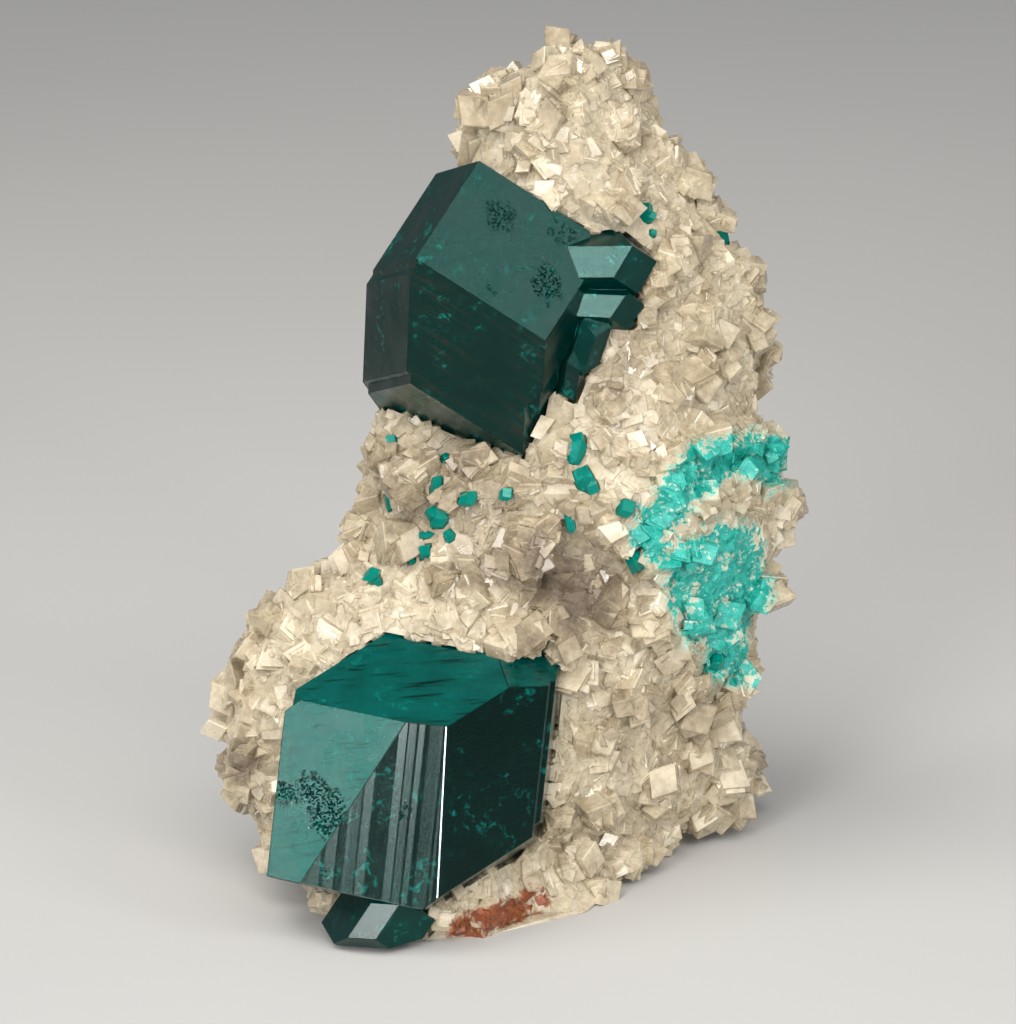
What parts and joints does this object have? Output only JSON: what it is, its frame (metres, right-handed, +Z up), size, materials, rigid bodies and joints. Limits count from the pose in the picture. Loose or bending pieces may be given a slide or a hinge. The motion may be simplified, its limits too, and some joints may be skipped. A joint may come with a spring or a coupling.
{
  "type": "dioptase crystals on calcite mineral specimen",
  "caption": "Rough mineral hand specimen: large and small green dioptase crystals on a wedge of sparkling calcite, flat underneath so that it stands.",
  "frame": {"origin": "the point of the flat cut under the calcite that lies below the middle of the specimen", "axes": "+Z up from the cut to the specimen's tip, -Y out of the display face towards the viewer, +X to the right of the display face"},
  "size_m": [0.0446, 0.0408, 0.0643],
  "materials": {
    "calcite": "intergrown cream to beige calcite rhombohedra with bright cleavage faces, turquoise dusted on one lobe and rust stained under the front",
    "dioptase": "deep emerald to teal clear crystal with glossy faces, growth lines, etch pits and milky veils",
    "small_dioptase": "small bright green clear crystals with glossy faces"
  },
  "bodies": {
    "root": {"calcite_matrix": "calcite", "upper_dioptase": "dioptase", "lower_dioptase": "dioptase", "small_dioptase_01": "small_dioptase", "small_dioptase_02": "small_dioptase", "small_dioptase_03": "small_dioptase", "small_dioptase_04": "small_dioptase", "small_dioptase_05": "small_dioptase", "small_dioptase_06": "small_dioptase", "small_dioptase_07": "small_dioptase", "small_dioptase_08": "small_dioptase", "small_dioptase_09": "small_dioptase", "small_dioptase_10": "small_dioptase", "small_dioptase_11": "small_dioptase", "small_dioptase_12": "small_dioptase", "small_dioptase_13": "small_dioptase", "small_dioptase_14": "small_dioptase", "small_dioptase_15": "small_dioptase", "small_dioptase_16": "small_dioptase", "small_dioptase_17": "small_dioptase", "small_dioptase_18": "small_dioptase", "small_dioptase_19": "small_dioptase", "small_dioptase_20": "small_dioptase", "small_dioptase_21": "small_dioptase", "small_dioptase_22": "small_dioptase", "small_dioptase_23": "small_dioptase"}
  },
  "joints": []
}
